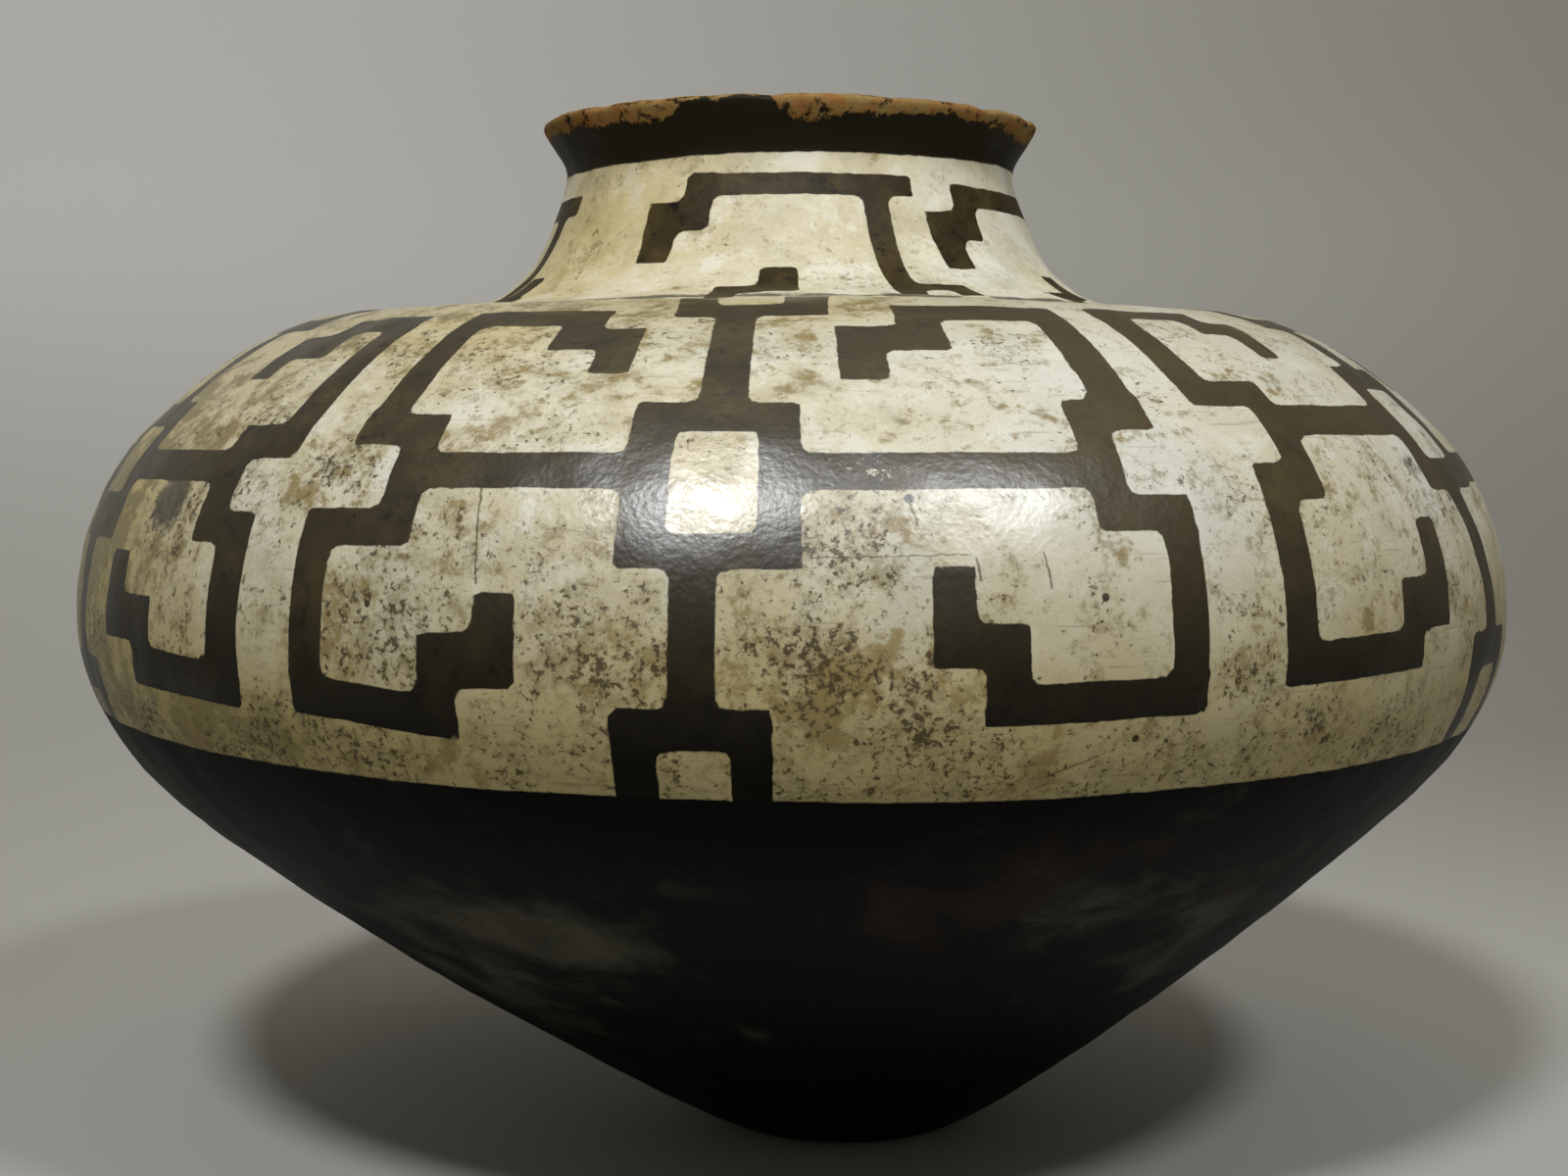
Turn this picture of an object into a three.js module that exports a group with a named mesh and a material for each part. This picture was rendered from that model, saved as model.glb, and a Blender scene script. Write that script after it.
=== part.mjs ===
// Wide-shouldered pottery beer jar: a cone-shaped lower half on a small flat base, a bulging belly,
// a nearly flat shoulder, a short neck drawn in to a waist, and a flared lip.
// It is hollow and empty, and its foot stands a little to one side of its mouth, as on the real jar.
// Millimetres, +Z up. The origin is under the middle of the belly, at the height of the underside.

import * as THREE from 'three';

// Driving dimensions of the outside, from the underside up
const footRadius = 62; // flat underside
const bellyRadius = 360; // widest girth
const bellyHeight = 270; // widest girth above the underside
const deckRadius = 188; // flat shoulder, where it turns towards the neck
const shoulderHeight = 148.3; // flat shoulder above the widest girth
const waistRadius = 115.5; // narrowest part of the neck
const neckHeight = 71.7; // waist above the flat shoulder
const lipRadius = 127.3; // outer edge of the lip
const lipHeight = 25.3; // outer edge of the lip above the waist
const lipCrown = 2.6; // rounded top of the lip above its outer edge

// Driving dimensions of the wall
const baseThickness = 17; // floor of the jar
const wallThickness = 10; // belly, shoulder and neck
const lipThickness = 12; // wall at the lip's edge

// The foot stands off the jar's axis, and the lower walls lean back to it
const footShift = 28;
const leanHeight = 200; // above this the girths share one axis

// Directions of the outer wall in degrees: 0 runs outwards, 90 straight up, 180 inwards
const footSlope = 24.7;
const coneSlope = 34.5;
const hipSlope = 41.5;
const uprightSlope = 90;
const shoulderSlope = 136;
const browSlope = 165.5;
const deckSlope = 176.5;
const neckRootSlope = 165;
const neckSlope = 109.5;
const waistSlope = 97;
const lipSlope = 70.8;

// Fineness of the faceted surface
const sidesAround = 76;
const outerTurn = 11; // degrees that the outer wall turns between rings
const innerTurn = 22; // degrees that the inner wall turns between rings
const crownSteps = 4; // steps over the top of the lip

// Main girths, each with its radius, height and the direction of the wall there
const foot = { radius: footRadius, height: 0, slope: footSlope };
const belly = { radius: bellyRadius, height: bellyHeight, slope: uprightSlope };
const deck = { radius: deckRadius, height: bellyHeight + shoulderHeight, slope: deckSlope };
const waist = { radius: waistRadius, height: deck.height + neckHeight, slope: waistSlope };
const lip = { radius: lipRadius, height: waist.height + lipHeight, slope: lipSlope };

// A girth on the way from one main girth to the next: how far across and how far up it sits
function between(lower, upper, across, up, slope) {
  return {
    radius: lower.radius + (upper.radius - lower.radius) * across,
    height: lower.height + (upper.height - lower.height) * up,
    slope,
  };
}

const girths = [
  foot,
  between(foot, belly, 0.366, 0.256, coneSlope),
  between(foot, belly, 0.829, 0.654, hipSlope),
  belly,
  between(belly, deck, 0.221, 0.647, shoulderSlope),
  between(belly, deck, 0.68, 0.978, browSlope),
  deck,
  between(deck, waist, 0.359, 0.074, neckRootSlope),
  between(deck, waist, 0.89, 0.637, neckSlope),
  waist,
  lip,
];

const radians = THREE.MathUtils.degToRad;

// One stretch of the wall, as near to a round arc as its two end directions allow
function stretch(start, end) {
  const from = new THREE.Vector2(start.radius, start.height);
  const to = new THREE.Vector2(end.radius, end.height);
  const turn = radians(Math.abs(end.slope - start.slope));
  const chord = from.distanceTo(to);
  const reach = turn > 0.001 ? (chord * (2 / 3) * Math.tan(turn / 4)) / Math.sin(turn / 2) : chord / 3;
  const leave = new THREE.Vector2(Math.cos(radians(start.slope)), Math.sin(radians(start.slope)));
  const arrive = new THREE.Vector2(Math.cos(radians(end.slope)), Math.sin(radians(end.slope)));
  return new THREE.CubicBezierCurve(
    from,
    from.clone().addScaledVector(leave, reach),
    to.clone().addScaledVector(arrive, -reach),
    to,
  );
}

// Points up the outer wall with the wall's direction at each, closer together where it turns faster
function wallPoints(degreesPerStep) {
  const points = [];
  for (let i = 0; i + 1 < girths.length; i++) {
    const curve = stretch(girths[i], girths[i + 1]);
    let turned = 0;
    for (let k = 0; k < 32; k++) {
      turned += curve.getTangent(k / 32).angleTo(curve.getTangent((k + 1) / 32));
    }
    const steps = Math.max(2, Math.ceil(THREE.MathUtils.radToDeg(turned) / degreesPerStep));
    for (let k = 0; k < steps; k++) {
      points.push({ at: curve.getPoint(k / steps), along: curve.getTangent(k / steps) });
    }
    if (i + 2 === girths.length) points.push({ at: curve.getPoint(1), along: curve.getTangent(1) });
  }
  return points;
}

// Wall thickness by height: heavy at the floor, even in the body and neck, heavier again at the lip
function thicknessAt(height) {
  const hipHeight = girths[2].height;
  if (height < hipHeight) {
    const up = height / hipHeight;
    return THREE.MathUtils.lerp(baseThickness, wallThickness, Math.min(1, up * 2.2));
  }
  const flare = THREE.MathUtils.clamp((height - waist.height) / lipHeight, 0, 1);
  return THREE.MathUtils.lerp(wallThickness, lipThickness, flare);
}

// Outline of the whole wall, from the middle of the underside round the lip to the middle of the floor
const outer = wallPoints(outerTurn).map((point) => point.at);
const crown = [];
for (let k = 1; k <= crownSteps; k++) {
  const angle = (Math.PI * k) / crownSteps;
  const across = (lipThickness / 2) * (1 - Math.cos(angle));
  crown.push(new THREE.Vector2(lip.radius - across, lip.height + lipCrown * Math.sin(angle)));
}
const innerEdge = crown[crown.length - 1];
const inner = wallPoints(innerTurn)
  .map((point) => {
    const thickness = thicknessAt(point.at.y);
    const inward = new THREE.Vector2(-point.along.y, point.along.x);
    return point.at.clone().addScaledVector(inward, thickness);
  })
  .filter((point) => point.y > baseThickness + 1 && point.y < innerEdge.y - lipCrown)
  .reverse();
const lowest = inner[inner.length - 1];
const floorRadius = lowest.x - (lowest.y - baseThickness) / Math.tan(radians(coneSlope));
const floorEdge = new THREE.Vector2(floorRadius, baseThickness);
const rings = [...outer, ...crown, ...inner, floorEdge];

// Sideways shift of a ring at a given height
function leanAt(height) {
  return footShift * Math.max(0, 1 - height / leanHeight) ** 1.5;
}

// Closed surface of rings, with a fan across the underside and another across the floor
const positions = [];
const faces = [];
for (const ring of rings) {
  for (let side = 0; side < sidesAround; side++) {
    const turn = (2 * Math.PI * side) / sidesAround;
    positions.push(ring.x * Math.cos(turn) + leanAt(ring.y), ring.x * Math.sin(turn), ring.y);
  }
}
const underside = rings.length * sidesAround;
positions.push(leanAt(0), 0, 0);
const floorMiddle = underside + 1;
positions.push(leanAt(baseThickness), 0, baseThickness);
for (let side = 0; side < sidesAround; side++) {
  const next = (side + 1) % sidesAround;
  faces.push(underside, next, side);
  for (let ring = 0; ring + 1 < rings.length; ring++) {
    const low = ring * sidesAround;
    const high = low + sidesAround;
    faces.push(low + side, low + next, high + next);
    faces.push(low + side, high + next, high + side);
  }
  const last = (rings.length - 1) * sidesAround;
  faces.push(last + side, last + next, floorMiddle);
}

const jarGeometry = new THREE.BufferGeometry();
jarGeometry.setAttribute('position', new THREE.Float32BufferAttribute(positions, 3));
jarGeometry.setIndex(faces);
jarGeometry.computeVertexNormals();

const creamSlip = new THREE.MeshStandardMaterial({ color: 0xb8a67c, roughness: 0.55, metalness: 0 });
const jar = new THREE.Mesh(jarGeometry, creamSlip);
jar.name = 'jar';

const model = new THREE.Group();
model.add(jar);

export default model;
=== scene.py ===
# Painted pottery beer jar on a plain pale floor. Metres, +Z up, the jar's mouth up.
import bpy
import math
import numpy as np
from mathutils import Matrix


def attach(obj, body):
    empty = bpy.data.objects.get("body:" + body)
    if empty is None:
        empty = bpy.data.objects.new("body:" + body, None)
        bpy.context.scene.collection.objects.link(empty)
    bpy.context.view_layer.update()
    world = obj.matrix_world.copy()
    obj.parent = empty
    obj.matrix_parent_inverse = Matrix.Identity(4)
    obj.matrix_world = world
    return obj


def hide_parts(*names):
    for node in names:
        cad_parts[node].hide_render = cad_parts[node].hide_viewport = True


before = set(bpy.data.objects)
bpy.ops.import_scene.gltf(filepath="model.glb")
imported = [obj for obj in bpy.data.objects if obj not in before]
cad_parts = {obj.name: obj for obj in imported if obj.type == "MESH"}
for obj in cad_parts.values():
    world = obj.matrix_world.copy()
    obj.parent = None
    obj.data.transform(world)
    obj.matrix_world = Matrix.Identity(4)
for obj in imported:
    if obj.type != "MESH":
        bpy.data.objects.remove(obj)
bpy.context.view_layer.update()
print("frame loaded")

# The jar's wall

jarWall = {
    "footRadius": 62, "bellyRadius": 360, "deckRadius": 188, "waistRadius": 115.5, "lipRadius": 127.3,
    "bellyHeight": 270, "shoulderHeight": 148.3, "neckHeight": 71.7, "lipHeight": 25.3,
    "lipCrown": 2.6, "lipThickness": 12, "wallThickness": 10, "baseThickness": 17,
    "footShift": 28, "leanHeight": 200,
    "footEdge": 1.5, "heelRise": 0.2,      # rounding of the worn foot edge
    "slopes": [24.7, 34.5, 41.5, 90, 136, 165.5, 176.5, 165, 109.5, 97, 70.8],     # degrees, at each girth
    "coneShares": [(0.366, 0.256), (0.829, 0.654)],      # girths between foot and belly: across, up
    "shoulderShares": [(0.221, 0.647), (0.68, 0.978)],   # between belly and deck
    "neckShares": [(0.359, 0.074), (0.89, 0.637)],       # between deck and waist
    "coneSides": 288, "paintSides": 576, "insideSides": 144,
    "coneStep": 7.5, "paintStep": 4.0, "throatStep": 9, "insideStep": 14,
    "paintFrom": 352,     # up the wall from the foot edge, where the fine rings start
    "underRings": (28, 50), "lipRings": (4, 2, 0), "floorRings": (1, 0.7, 0.35), "floorInset": 4,
    "crownAngles": (20, 42, 66, 90, 114, 138, 160, 180), "crownStep": 1.8,
    "throatDepth": 70,    # how far below the waist the inside keeps its finer rings
    "baseFade": 2.2,      # how soon the thick base thins out to the wall
    "handWobble": 0.7,    # how far the hand-built wall strays, in mm
    "handRipple": 0.16,   # smaller dents of scraping and polishing, in mm
    "trueFoot": 60, "trueLip": 40, "lipWobble": 0.3,      # mm near foot and lip where it strays less
}


def girths(w):
    def between(low, high, shares):
        wide, tall = high[0] - low[0], high[1] - low[1]
        return [(low[0] + wide * across, low[1] + tall * up) for across, up in shares]

    foot = (w["footRadius"], 0)
    belly = (w["bellyRadius"], w["bellyHeight"])
    deck = (w["deckRadius"], w["bellyHeight"] + w["shoulderHeight"])
    waist = (w["waistRadius"], deck[1] + w["neckHeight"])
    lip = (w["lipRadius"], waist[1] + w["lipHeight"])
    places = [foot, *between(foot, belly, w["coneShares"]), belly, *between(belly, deck, w["shoulderShares"]),
              deck, *between(deck, waist, w["neckShares"]), waist, lip]
    return [(r, z, math.radians(a)) for (r, z), a in zip(places, w["slopes"])]


def wallLine(w):
    line = []
    stations = girths(w)
    for (r0, z0, a0), (r1, z1, a1) in zip(stations[:-1], stations[1:]):
        chord = math.hypot(r1 - r0, z1 - z0)
        turn = abs(a1 - a0)
        reach = chord * 2 / 3 * math.tan(turn / 4) / math.sin(turn / 2)
        p0, p3 = np.array([r0, z0]), np.array([r1, z1])
        p1 = p0 + reach * np.array([math.cos(a0), math.sin(a0)])
        p2 = p3 - reach * np.array([math.cos(a1), math.sin(a1)])
        t = np.linspace(0, 1, 80)[:, None]
        part = (1 - t) ** 3 * p0 + 3 * (1 - t) ** 2 * t * p1 + 3 * (1 - t) * t * t * p2 + t ** 3 * p3
        line.append(part if not line else part[1:])
    line = np.vstack(line)
    run = np.concatenate([[0], np.cumsum(np.hypot(*np.diff(line, axis=0).T))])
    slope = np.gradient(line, run, axis=0)
    slope /= np.linalg.norm(slope, axis=1)[:, None]
    return line, run, slope


wallPoints, wallRun, wallSlope = wallLine(jarWall)
lipRun = float(wallRun[-1])      # way up the outside, from foot edge to lip edge
waistHeight = girths(jarWall)[-2][1]
waistRun = float(wallRun[np.argmax(wallPoints[:, 1] >= waistHeight)])


def outsideAt(run):
    r = np.interp(run, wallRun, wallPoints[:, 0])
    z = np.interp(run, wallRun, wallPoints[:, 1])
    return r, z


def leanAt(z, w):
    return w["footShift"] * np.clip(1 - z / w["leanHeight"], 0, 1) ** 1.5


def ripple(where, wavelength, seed, waves=28):
    rng = np.random.default_rng(seed)
    total = np.zeros(len(where))
    for k in range(waves):
        way = rng.normal(size=3)
        way /= np.linalg.norm(way)
        size = 2 * math.pi / (wavelength * rng.uniform(0.75, 1.4))
        total += np.sin(where @ way * size + rng.uniform(0, 2 * math.pi))
    return total / math.sqrt(waves / 2)


# Rings of the wall: radius, height, way up the wall, side (0 outside, 1 inside), points round

def jarRings(w):
    rings = []
    for r in w["underRings"]:
        rings.append((r, 0.0, r - w["footRadius"], 0, w["insideSides"]))
    edge = w["footEdge"]
    rings.append((w["footRadius"] - edge, 0.0, -edge, 0, w["coneSides"]))
    coneRuns = np.linspace(edge, w["paintFrom"], int(w["paintFrom"] / w["coneStep"]))
    for run in coneRuns[:-1]:
        r, z = outsideAt(run)
        rings.append((r, z + (w["heelRise"] if run == edge else 0), run, 0, w["coneSides"]))
    lipStart = lipRun - w["lipRings"][0] - 2
    for run in np.linspace(w["paintFrom"], lipStart, int((lipStart - w["paintFrom"]) / w["paintStep"])):
        r, z = outsideAt(run)
        rings.append((r, z, run, 0, w["paintSides"]))
    for below in w["lipRings"]:
        r, z = outsideAt(lipRun - below)
        rings.append((r, z, lipRun - below, 0, w["paintSides"]))
    half = w["lipThickness"] / 2
    lipR, lipZ = wallPoints[-1]
    crownRun = lipRun
    for angle in np.radians(w["crownAngles"]):
        crownRun += w["crownStep"]
        rings.append((lipR - half * (1 - math.cos(angle)), lipZ + w["lipCrown"] * math.sin(angle),
                      crownRun, 0, w["paintSides"]))
    normal = np.stack([-wallSlope[:, 1], wallSlope[:, 0]], 1)
    hip = girths(w)[2][1]
    up = np.clip(wallPoints[:, 1] / hip * w["baseFade"], 0, 1)
    flare = np.clip((wallPoints[:, 1] - waistHeight) / w["lipHeight"], 0, 1)
    thick = w["baseThickness"] + (w["wallThickness"] - w["baseThickness"]) * up
    thick = thick + (w["lipThickness"] - w["wallThickness"]) * flare
    inner = wallPoints + normal * thick[:, None]
    keep = (inner[:, 1] > w["baseThickness"] + 1) & (inner[:, 1] < lipZ - w["lipCrown"])
    inner, innerRun = inner[keep][::-1], wallRun[keep][::-1]
    deep = np.concatenate([[0], np.cumsum(np.hypot(*np.diff(inner, axis=0).T))])
    neckDeep = deep[np.argmax(innerRun < waistRun - w["throatDepth"])]
    throat = np.arange(0, neckDeep, w["throatStep"])
    body = np.arange(neckDeep, deep[-1], w["insideStep"])
    for way, sides in ((throat, w["coneSides"]), (body, w["insideSides"])):
        for d in way:
            rings.append((np.interp(d, deep, inner[:, 0]), np.interp(d, deep, inner[:, 1]),
                          np.interp(d, deep, innerRun), 1, sides))
    floorR = rings[-1][0] - w["floorInset"]
    for share in w["floorRings"]:
        rings.append((floorR * share, w["baseThickness"], 0.0, 1, w["insideSides"]))
    return rings


def buildJar(w):
    rings = jarRings(w)
    ringStart, theta, radius, height, run, side = [], [], [], [], [], []
    for r, z, s, inside, n in rings:
        ringStart.append(len(theta))
        theta.extend(np.arange(n) / n * 2 * math.pi - math.pi)
        radius.extend([r] * n)
        height.extend([z] * n)
        run.extend([s] * n)
        side.extend([inside] * n)
    for z, s, inside in ((0.0, -60.0, 0), (w["baseThickness"], -10.0, 1)):   # middles of underside and floor
        theta.append(0)
        radius.append(0)
        height.append(z)
        run.append(s)
        side.append(inside)
    theta, radius, height, run, side = (np.array(a, float) for a in (theta, radius, height, run, side))
    faces = []
    for (a, b), (ra, rb) in zip(zip(ringStart[:-1], ringStart[1:]), zip(rings[:-1], rings[1:])):
        n, m = ra[4], rb[4]
        if n == m:
            for i in range(n):
                j = (i + 1) % n
                faces.append((a + i, a + j, b + j, b + i))
        elif m == 2 * n:
            for i in range(n):
                j = (i + 1) % n
                faces.append((a + i, b + 2 * i + 1, b + 2 * i))
                faces.append((a + i, a + j, b + 2 * i + 1))
                faces.append((a + j, b + (2 * i + 2) % m, b + 2 * i + 1))
        else:
            for i in range(m):
                j = (i + 1) % m
                faces.append((a + 2 * i, a + 2 * i + 1, b + i))
                faces.append((a + 2 * i + 1, b + j, b + i))
                faces.append((a + 2 * i + 1, a + (2 * i + 2) % n, b + j))
    low, high = len(theta) - 2, len(theta) - 1
    for i in range(rings[0][4]):
        faces.append((low, (i + 1) % rings[0][4], i))
    last, n = ringStart[-1], rings[-1][4]
    for i in range(n):
        faces.append((last + i, last + (i + 1) % n, high))
    return theta, radius, height, run, side, faces


theta, radius, height, run, side, jarFaces = buildJar(jarWall)
degrees = np.degrees(theta)
wallSpace = np.stack([np.sin(theta) * radius, -np.cos(theta) * radius, run], 1)
print("rings laid out:", len(theta), "points,", len(jarFaces), "faces")

# The painted ornament. Edges are in degrees round from the front, and levels in mm up the wall from the foot

# Frets: columns are two edges round, bars and steps two levels up, and the tips end at a level. The arm
# starts inside the spine beside it

fretRight = {
    "tip": (3.6, 7.4), "stem": (9.2, 13.0), "inner": (19.7, 22.5), "outerTop": (22.0, 25.6),
    "outerStep": (22.6, 26.4), "outerLow": (24.3, 27.0), "lowBlock": (11.8, 14.6), "lowTip": (8.5, 11.2),
    "topBar": (588, 605), "cross": (562, 581), "tipEnd": 542, "step": (513, 531), "block": (467, 482),
    "footBar": (393, 409), "lowCross": (415, 432), "lowTipEnd": 454, "arm": (485, 501.5), "armFrom": -2.0,
    "footRise": 0.1,
}
fretLeft = {
    "tip": (-12.4, -15.7), "stem": (-16.5, -20.3), "inner": (-25.0, -27.9), "outerTop": (-28.5, -31.3),
    "outerStep": (-29.1, -32.4), "outerLow": (-31.2, -34.0), "lowBlock": (-21.2, -23.8),
    "lowTip": (-17.1, -20.0), "topBar": (584, 601), "cross": (563, 580), "tipEnd": 546, "step": (505, 522),
    "block": (460, 475.6), "footBar": (388.3, 405.3), "lowCross": (406, 427), "lowTipEnd": 443,
    "arm": (485, 501.5), "armFrom": -8.0, "footRise": -0.58,
}
fretFarLeft = {
    "tip": (-53.2, -49.7), "stem": (-48.0, -44.5), "inner": (-45.5, -42.3), "outerTop": (-40.0, -36.6),
    "outerStep": (-41.0, -37.5), "outerLow": (-42.4, -39.0), "lowBlock": (-52.6, -49.8),
    "lowTip": (-58.0, -54.5), "topBar": (582, 598), "cross": (561, 581), "tipEnd": 547, "step": (498, 516),
    "block": (459, 473), "footBar": (393, 411), "lowCross": (414, 434), "lowTipEnd": 453,
    "arm": (486, 502), "armFrom": -61.0, "footRise": -0.32,
}
fretFarRight = {
    "tip": (47.7, 44.7), "stem": (44.0, 40.3), "inner": (39.8, 36.8), "outerTop": (33.0, 29.5),
    "outerStep": (34.5, 31.1), "outerLow": (36.3, 33.4), "lowBlock": (48.5, 45.8), "lowTip": (52.7, 49.7),
    "topBar": (594, 606), "cross": (579, 592), "tipEnd": 560, "step": (527, 543), "block": (479, 496),
    "footBar": (403, 420.6), "lowCross": (421, 443), "lowTipEnd": 469, "arm": (510, 528), "armFrom": 58.0,
    "footRise": 0.15,
}

# The front spine's strokes: two edges round, then two levels up

spineStrokes = {
    "at": -5.0, "box": (-11.0, 0.6, 453, 528), "window": (-7.9, -2.2, 467, 512), "windowRound": 3.5,
    "stem": (-6.6, -3.1, 525, 595), "topBar": (-10.6, 3.3, 591, 606),
    "leftHorn": (-10.6, -6.7, 600, 668), "leftHornTop": (-13.3, -9.4),
    "rightHorn": (-0.7, 3.3, 600, 668), "rightHornTop": (-0.6, 5.2),
    "rootBars": [(-13.0, -8.6, 665, 704), (-12.8, -4.8, 692, 704), (-5.8, 1.3, 694.5, 721)],
    "lowStem": (-7.5, -4.6, 398, 455), "foot": (-11.2, -1.2, 383, 400),
    "footLegs": [(-11.2, -8.4, 350, 392), (-3.8, -1.2, 350, 392)],
}

# The six spines: where each stands and how it departs from the front one, in mm up and degrees round.
# A fret named here is a copy beside that spine, and its number is how far it's lifted

spines = [
    {"at": -65.0, "boxLift": 4, "footLift": 2, "windowLift": 8, "leftFret": 3},
    {"at": -5.0},
    {"at": 61.0, "boxLift": 28, "footLift": 15, "windowLift": 2, "footTurn": 2.8, "rightFret": -2},
    {"at": 119.8, "boxLift": 8, "footLift": 4, "rightFret": 2, "leftFret": 1},
    {"at": 178.5, "boxLift": -3, "footLift": 2, "windowLift": 3, "rightFret": 0, "leftFret": 4},
    {"at": 237.3, "boxLift": 5, "footLift": -2, "rightFret": 4, "leftFret": -2},
]

# The neck figures: strokes of the first, then where all five start, with their lift

neckStrokes = {
    "start": -33.3, "tip": (-32.3, -25.2, 725.5, 759), "tipTop": (-33.4, -24.9),
    "steps": [(-33.3, -17.8, 743.8, 759), (-24.5, -17.8, 743.8, 774), (-24.5, 29.0, 762.2, 773.2)],
    "post": (17.6, 22.5, 690, 766), "postTop": (16.2, 22.4),
    "footBars": [(18.0, 32.2, 699.5, 707.5), (27.8, 32.4, 689, 705.5)],
}
necks = [(-33.3, 0), (31.2, -3.5), (100.0, 0), (169.0, 1.5), (237.7, -5.0)]

ornament = {
    "cornerFill": 2.6,       # how far paint creeps into inner corners, mm
    "cornerRound": 0.7,      # outer corners, mm
    "leastRadius": 60,       # so that strokes keep a width where the wall runs in to the middle
}


def box(across0, across1, up0, up1, acrossTop=None, rise=0.0, rounding=None):
    # a stroke whose sides may lean and whose ends may rise, mm per degree: its gap in mm, negative
    # in the paint, and the way in which the gap grows
    top = (across0, across1) if acrossTop is None else acrossTop
    t = np.clip((run - up0) / (up1 - up0), 0, 1)
    lowSide = across0 + (top[0] - across0) * t
    highSide = across1 + (top[1] - across1) * t
    lowSide, highSide = np.minimum(lowSide, highSide), np.maximum(lowSide, highSide)
    away = (degrees - (lowSide + highSide) / 2 + 180) % 360 - 180
    above = run - (up0 + up1) / 2 - rise * away
    r = ornament["cornerRound"] if rounding is None else rounding
    girth = np.maximum(radius, ornament["leastRadius"])
    dx = (np.abs(away) - (highSide - lowSide) / 2) * np.pi / 180 * girth + r
    dy = np.abs(above) - (up1 - up0) / 2 + r
    gap = np.hypot(np.maximum(dx, 0), np.maximum(dy, 0)) + np.minimum(np.maximum(dx, dy), 0) - r
    within = (dx <= 0) & (dy <= 0)
    growX = np.where(within, dx > dy, np.maximum(dx, 0))
    growY = np.where(within, dx <= dy, np.maximum(dy, 0))
    size = np.hypot(growX, growY) + 1e-9
    return gap, growX / size * np.sign(away), growY / size * np.sign(above)


def join(strokes):
    # paint creeps into the corners where strokes cross, and not along the edges that they share
    k = ornament["cornerFill"] * 2
    gap, growX, growY = strokes[0]
    for nextGap, nextX, nextY in strokes[1:]:
        h = np.clip(k - np.abs(gap - nextGap), 0, None) / k
        turn = 1 - np.abs(growX * nextX + growY * nextY)
        fill = turn * h * h * k / 4
        nearer = nextGap < gap
        gap = np.where(nearer, nextGap, gap) - fill
        growX, growY = np.where(nearer, nextX, growX), np.where(nearer, nextY, growY)
    return gap, growX, growY


def paintFret(f, turn=0.0, lift=0.0):
    # turn and lift move a copy round and up the wall; strokes run on a few mm into the next
    def bar(pair, levels, top=None, rise=0.0):
        moved = None if top is None else (top[0] + turn, top[1] + turn)
        return box(pair[0] + turn, pair[1] + turn, levels[0] + lift, levels[1] + lift, moved, rise)

    innerMiddle = (f["inner"][0] + f["inner"][1]) / 2
    strokes = [
        bar((f["stem"][0], f["outerTop"][1]), f["topBar"]),
        bar(f["stem"], (f["cross"][0], f["topBar"][1])),
        bar((f["tip"][0], f["stem"][1]), f["cross"]),
        bar(f["tip"], (f["tipEnd"], f["cross"][1])),
        bar(f["outerStep"], (f["step"][0], f["topBar"][1]), f["outerTop"]),
        bar((f["inner"][0], f["outerStep"][1]), f["step"]),
        bar(f["inner"], (f["block"][0], f["step"][1])),
        bar((f["inner"][0], f["outerLow"][1]), f["block"]),
        bar(f["outerLow"], (f["footBar"][0] + 6, f["block"][1])),
        bar((f["lowBlock"][0], f["outerLow"][1]), f["footBar"], rise=f["footRise"]),
        bar(f["lowBlock"], (f["footBar"][0] + 5, f["lowCross"][1])),
        bar((f["lowTip"][0], f["lowBlock"][1]), f["lowCross"]),
        bar(f["lowTip"], (f["lowCross"][0], f["lowTipEnd"])),
        bar((f["armFrom"], innerMiddle), f["arm"]),
    ]
    return join(strokes)


def paintSpine(at, boxLift=0.0, footLift=0.0, windowLift=0.0, footTurn=0.0):
    s, turn = spineStrokes, at - spineStrokes["at"]

    def bar(stroke, lift=(0, 0), top=None, aside=0.0):
        a, b, low, high = stroke
        moved = None if top is None else (top[0] + turn, top[1] + turn)
        return box(a + aside + turn, b + aside + turn, low + lift[0], high + lift[1], moved)

    left, right, low, high = s["window"]
    window = box(left + turn, right + turn, low + boxLift + windowLift, high + boxLift,
                 rounding=s["windowRound"])
    frameBox = bar(s["box"], (boxLift, boxLift))
    inWindow = -window[0] > frameBox[0]
    strokes = [
        [np.where(inWindow, -w, f) for w, f in zip(window, frameBox)],
        bar(s["stem"], (boxLift, 0)),
        bar(s["topBar"]),
        bar(s["leftHorn"], top=s["leftHornTop"]),
        bar(s["rightHorn"], top=s["rightHornTop"]),
        *[bar(stroke) for stroke in s["rootBars"]],
        bar(s["lowStem"], (footLift, boxLift), top=s["lowStem"][:2], aside=footTurn),
        bar(s["foot"], (footLift, footLift), aside=footTurn),
        *[bar(stroke, (0, footLift), aside=footTurn) for stroke in s["footLegs"]],
    ]
    return join(strokes)


def paintNeck(start, lift):
    s, turn = neckStrokes, start - neckStrokes["start"]

    def bar(stroke, top=None):
        a, b, low, high = stroke
        moved = None if top is None else (top[0] + turn, top[1] + turn)
        return box(a + turn, b + turn, low + lift, high + lift, moved)

    strokes = [bar(s["tip"], s["tipTop"]), *[bar(stroke) for stroke in s["steps"]],
               bar(s["post"], s["postTop"]), *[bar(stroke) for stroke in s["footBars"]]]
    return join(strokes)


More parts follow.
